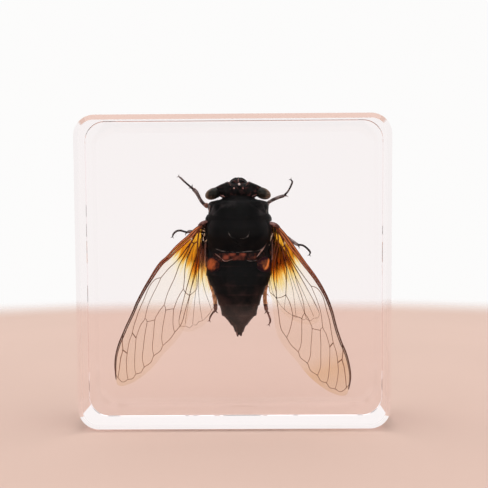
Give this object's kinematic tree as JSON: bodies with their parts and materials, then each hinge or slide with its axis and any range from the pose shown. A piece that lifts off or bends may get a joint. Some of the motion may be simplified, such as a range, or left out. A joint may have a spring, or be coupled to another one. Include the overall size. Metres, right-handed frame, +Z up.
{
  "type": "insect in resin block",
  "caption": "Black cicada with spread veined wings, cast whole in a square block of clear resin that stands on its edge.",
  "frame": {"origin": "centre of the bottom edge face that the block stands on", "axes": "+Z up, from the abdomen's tip to the head; X along the block's width; -Y towards the face that shows the cicada's back"},
  "size_m": [0.075, 0.025, 0.075],
  "materials": {
    "clear_resin": "polished, water-clear with a faint warm cast",
    "black_shell": "hard black insect shell, satin with a soft shine",
    "forewing_membrane": "thin clear membrane, orange at its root, with dark veins",
    "hindwing_membrane": "thin clear membrane with brown veins",
    "leg_shell": "dark brown insect shell, satin"
  },
  "bodies": {
    "root": {"resin_front": "clear_resin", "resin_back": "clear_resin", "cicada_body": "black_shell", "left_forewing": "forewing_membrane", "right_forewing": "forewing_membrane", "left_hindwing": "hindwing_membrane", "right_hindwing": "hindwing_membrane", "left_foreleg": "leg_shell", "right_foreleg": "leg_shell", "left_midleg": "leg_shell", "right_midleg": "leg_shell", "left_hindleg": "leg_shell", "right_hindleg": "leg_shell"}
  },
  "joints": []
}
